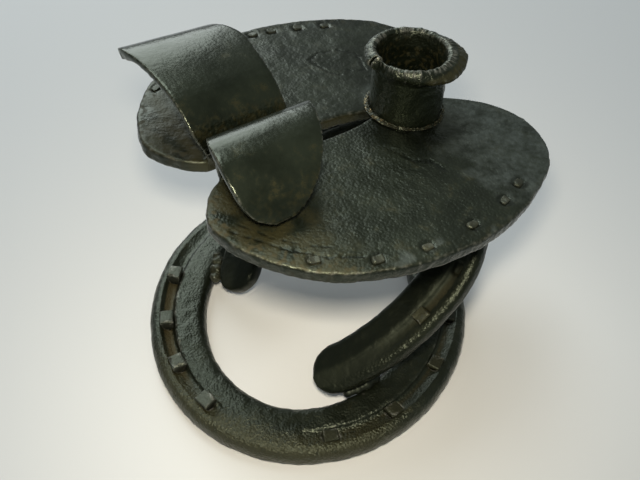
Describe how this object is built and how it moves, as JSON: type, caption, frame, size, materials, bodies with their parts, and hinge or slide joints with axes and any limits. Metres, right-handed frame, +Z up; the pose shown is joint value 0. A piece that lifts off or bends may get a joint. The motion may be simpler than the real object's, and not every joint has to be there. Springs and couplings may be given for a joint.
{
  "type": "candlestick",
  "caption": "Low forged candlestick: a flat horseshoe foot, a leaning horseshoe riser, a split drip pan of ox shoes with curled grip tongues, and a flared candle socket.",
  "frame": {"origin": "on the table, under the middle of the whole candlestick's box", "axes": "+Z up, -Y towards the foot's toe, +Y towards its heels, +X towards the branch that the riser's near heel stands on"},
  "size_m": [0.1602, 0.178, 0.1199],
  "materials": {
    "base_iron": "blackened, hammered, brown in the fuller",
    "riser_iron": "blackened, satin",
    "pan_iron": "blackened, grey-green sheen, scaled",
    "socket_iron": "blackened, hammered",
    "nail_iron": "worn",
    "stub_iron": "clipped and rubbed bright",
    "weld_metal": "lumpy, browned"
  },
  "bodies": {
    "root": {"base_horseshoe": "base_iron", "base_nail_1": "nail_iron", "base_nail_2": "nail_iron", "base_nail_3": "nail_iron", "base_nail_4": "nail_iron", "base_nail_5": "nail_iron", "base_nail_6": "nail_iron", "base_nail_7": "nail_iron", "base_nail_8": "nail_iron", "riser_horseshoe": "riser_iron", "riser_nail": "nail_iron", "near_ox_shoe": "pan_iron", "near_stub_1": "stub_iron", "near_stub_2": "stub_iron", "near_stub_3": "stub_iron", "near_stub_4": "stub_iron", "near_stub_5": "stub_iron", "near_stub_6": "stub_iron", "far_ox_shoe": "pan_iron", "far_stub_1": "stub_iron", "far_stub_2": "stub_iron", "far_stub_3": "stub_iron", "far_stub_4": "stub_iron", "far_stub_5": "stub_iron", "far_stub_6": "stub_iron", "far_stub_7": "stub_iron", "socket_braze": "weld_metal", "candle_socket": "socket_iron", "near_heel_weld": "weld_metal", "far_heel_weld": "weld_metal", "toe_weld": "weld_metal"}
  },
  "joints": []
}
